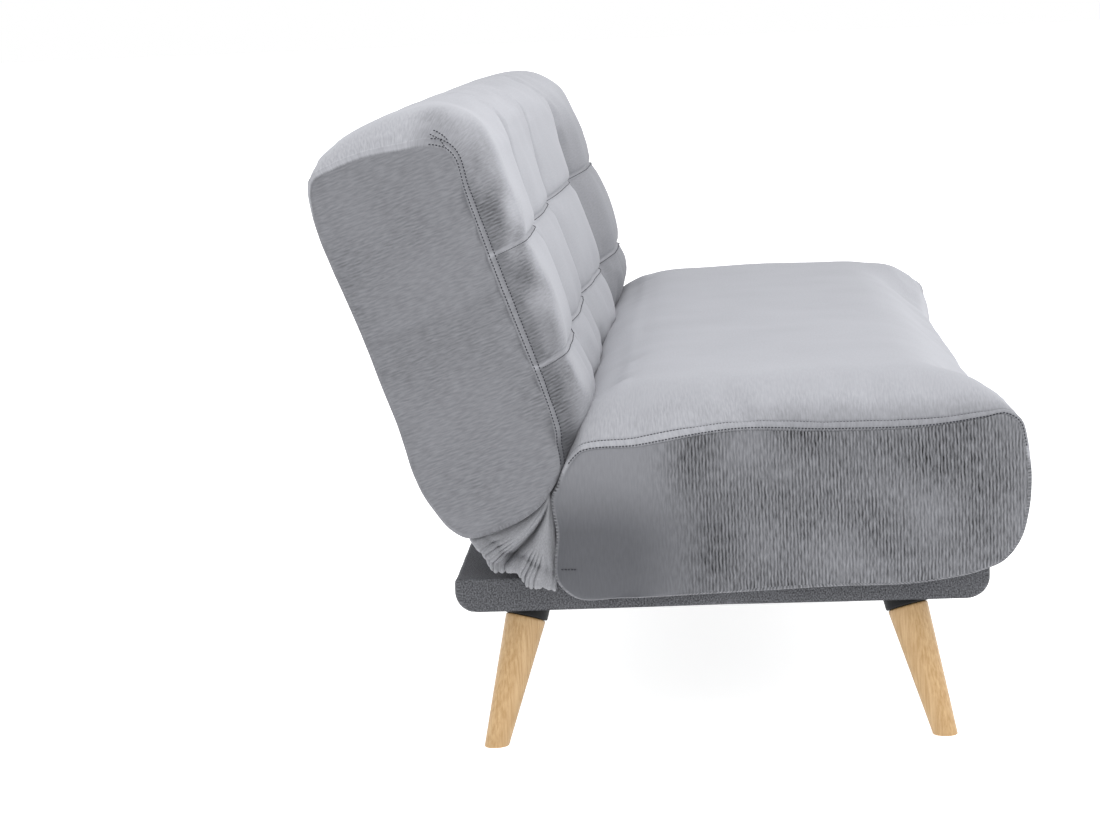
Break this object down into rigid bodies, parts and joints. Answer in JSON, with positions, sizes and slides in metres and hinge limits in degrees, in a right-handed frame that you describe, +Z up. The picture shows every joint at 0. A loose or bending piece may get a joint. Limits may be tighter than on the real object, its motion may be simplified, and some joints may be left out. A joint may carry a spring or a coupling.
{
  "type": "click clack sofa bed",
  "caption": "Armless padded sofa whose channelled back folds down level with the seat, on a fabric-wrapped base with splayed wooden legs.",
  "frame": {"origin": "on the floor, under the middle of the overall box at rest (back upright)", "axes": "+X along the sofa to its right end seen from the front, -Y towards the front, +Z up"},
  "size_m": [1.82, 0.8922, 0.8149],
  "materials": {
    "cushion_fabric": "fine ribbed chenille, light grey",
    "base_fabric": "flecked woven, grey",
    "rear_fabric": "fine ribbed chenille, grey",
    "gusset_fabric": "gathered chenille, grey",
    "dust_cloth": "black non-woven",
    "webbing": "woven elastic strap",
    "beech": "satin lacquer",
    "pine": "sawn",
    "board": "raw plywood",
    "black_plastic": "satin black",
    "rubber": "matt",
    "zinc_steel": "zinc plated"
  },
  "bodies": {
    "base": {"base_cover": "base_fabric", "base_dust_cover": "dust_cloth", "base_deck": "board", "base_front_rail": "pine", "base_rear_rail": "pine", "base_centre_rail": "pine", "base_end_rail_left": "pine", "base_bracket_left": "zinc_steel", "leg_front_left": "beech", "leg_wedge_front_left": "black_plastic", "leg_stud_front_left": "zinc_steel", "base_corner_block_front_left": "pine", "buffer_front_left": "rubber", "leg_rear_left": "beech", "leg_wedge_rear_left": "black_plastic", "leg_stud_rear_left": "zinc_steel", "base_corner_block_rear_left": "pine", "buffer_rear_left": "rubber", "base_end_rail_right": "pine", "base_bracket_right": "zinc_steel", "leg_front_right": "beech", "leg_wedge_front_right": "black_plastic", "leg_stud_front_right": "zinc_steel", "base_corner_block_front_right": "pine", "buffer_front_right": "rubber", "leg_rear_right": "beech", "leg_wedge_rear_right": "black_plastic", "leg_stud_rear_right": "zinc_steel", "base_corner_block_rear_right": "pine", "buffer_rear_right": "rubber"},
    "seat": {"hinge_gusset": "gusset_fabric", "seat_cushion": "cushion_fabric", "seat_dust_cover": "dust_cloth", "seat_webbing": "webbing", "seat_front_rail": "pine", "seat_rear_rail": "pine", "seat_centre_rail": "pine", "seat_end_rail_left": "pine", "seat_arm_left": "zinc_steel", "main_pivot_left": "zinc_steel", "seat_end_rail_right": "pine", "seat_arm_right": "zinc_steel", "main_pivot_right": "zinc_steel"},
    "back": {"back_rear_panel": "rear_fabric", "back_cushion": "cushion_fabric", "back_webbing": "webbing", "back_bottom_rail": "pine", "back_top_rail": "pine", "back_centre_rail": "pine", "back_end_rail_left": "pine", "back_arm_left": "zinc_steel", "back_end_rail_right": "pine", "back_arm_right": "zinc_steel"},
    "front_link_left": {"front_link_left": "zinc_steel"},
    "rear_link_left": {"rear_link_left": "zinc_steel"},
    "pawl_left": {"pawl_left": "zinc_steel"},
    "front_link_right": {"front_link_right": "zinc_steel"},
    "rear_link_right": {"rear_link_right": "zinc_steel"},
    "pawl_right": {"pawl_right": "zinc_steel"}
  },
  "joints": [
    {"name": "seat_shift", "type": "hinge", "parent": "base", "child": "rear_link_left", "pos_m": [-0.8646, -0.0941, 0.25], "axis": [1, 0, 0], "range_deg": [0, 130.7]},
    {"name": "seat_level", "type": "hinge", "parent": "rear_link_left", "child": "seat", "pos_m": [-0.8646, 0.0059, 0.29583], "axis": [1, 0, 0], "range_deg": [-130.7, 0]},
    {"name": "front_link_left_swing", "type": "hinge", "parent": "base", "child": "front_link_left", "pos_m": [-0.8646, -0.2541, 0.25], "axis": [1, 0, 0], "range_deg": [0, 130.7]},
    {"name": "rear_link_right_swing", "type": "hinge", "parent": "base", "child": "rear_link_right", "pos_m": [0.8646, -0.0941, 0.25], "axis": [1, 0, 0], "range_deg": [0, 130.7]},
    {"name": "front_link_right_swing", "type": "hinge", "parent": "base", "child": "front_link_right", "pos_m": [0.8646, -0.2541, 0.25], "axis": [1, 0, 0], "range_deg": [0, 130.7]},
    {"name": "back_recline", "type": "hinge", "parent": "seat", "child": "back", "pos_m": [0, 0.1969, 0.35], "axis": [-1, 0, 0], "range_deg": [0, 70.8], "deforming": ["hinge_gusset"]},
    {"name": "pawl_left_lift", "type": "hinge", "parent": "seat", "child": "pawl_left", "pos_m": [-0.8646, 0.14631, 0.326], "axis": [1, 0, 0], "range_deg": [0, 15], "stiffness_Nm_per_rad": 0.6},
    {"name": "pawl_right_lift", "type": "hinge", "parent": "seat", "child": "pawl_right", "pos_m": [0.8646, 0.14631, 0.326], "axis": [1, 0, 0], "range_deg": [0, 15], "stiffness_Nm_per_rad": 0.6}
  ],
  "couplings": [
    {"joint": "seat_level", "follows": "seat_shift", "ratio": -1},
    {"joint": "front_link_left_swing", "follows": "seat_shift", "ratio": 1},
    {"joint": "rear_link_right_swing", "follows": "seat_shift", "ratio": 1},
    {"joint": "front_link_right_swing", "follows": "seat_shift", "ratio": 1}
  ]
}
